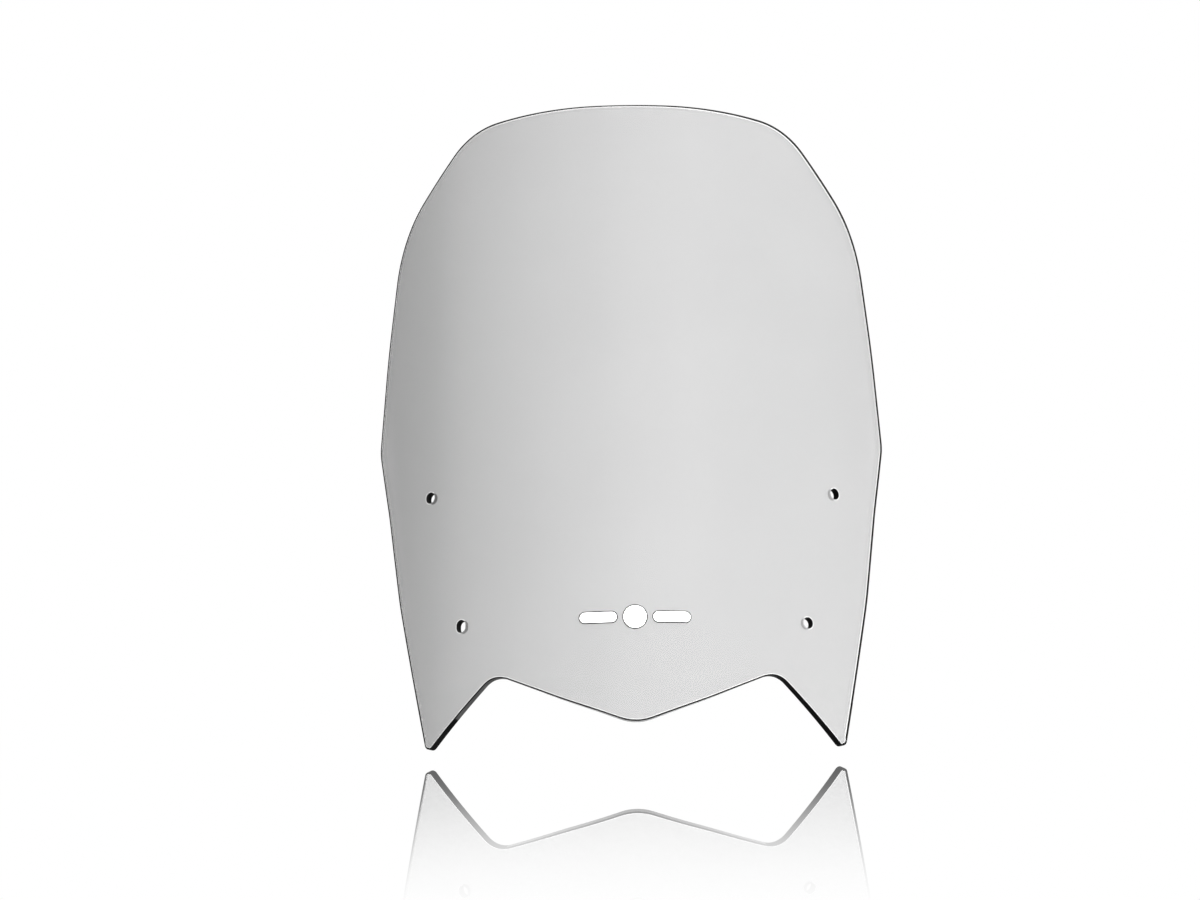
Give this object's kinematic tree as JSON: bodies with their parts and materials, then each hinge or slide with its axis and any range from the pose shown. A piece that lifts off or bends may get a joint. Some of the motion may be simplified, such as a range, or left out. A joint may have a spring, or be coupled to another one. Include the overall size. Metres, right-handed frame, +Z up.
{
  "type": "motorcycle windshield screen",
  "caption": "Tall curved windshield screen in light-smoke transparent acrylic, with bolt holes in its lower sides, pointed lower prongs and a shallow V in its lower edge.",
  "frame": {"origin": "centre of the four bolt holes, on the inner face's side of the sheet and on the plane of symmetry", "axes": "+Z up as the screen stands, -Y forward out of the convex outer face, +Y towards the bracket and the rider, X across; X = 0 is the plane of symmetry"},
  "size_m": [0.3392, 0.1614, 0.4232],
  "materials": {
    "smoke_acrylic": "polished light-smoke acrylic, clear through",
    "white_vinyl": "satin white cut vinyl"
  },
  "bodies": {
    "root": {"screen_panel": "smoke_acrylic", "mark_disc": "white_vinyl", "mark_bar_left": "white_vinyl", "mark_bar_right": "white_vinyl"}
  },
  "joints": []
}
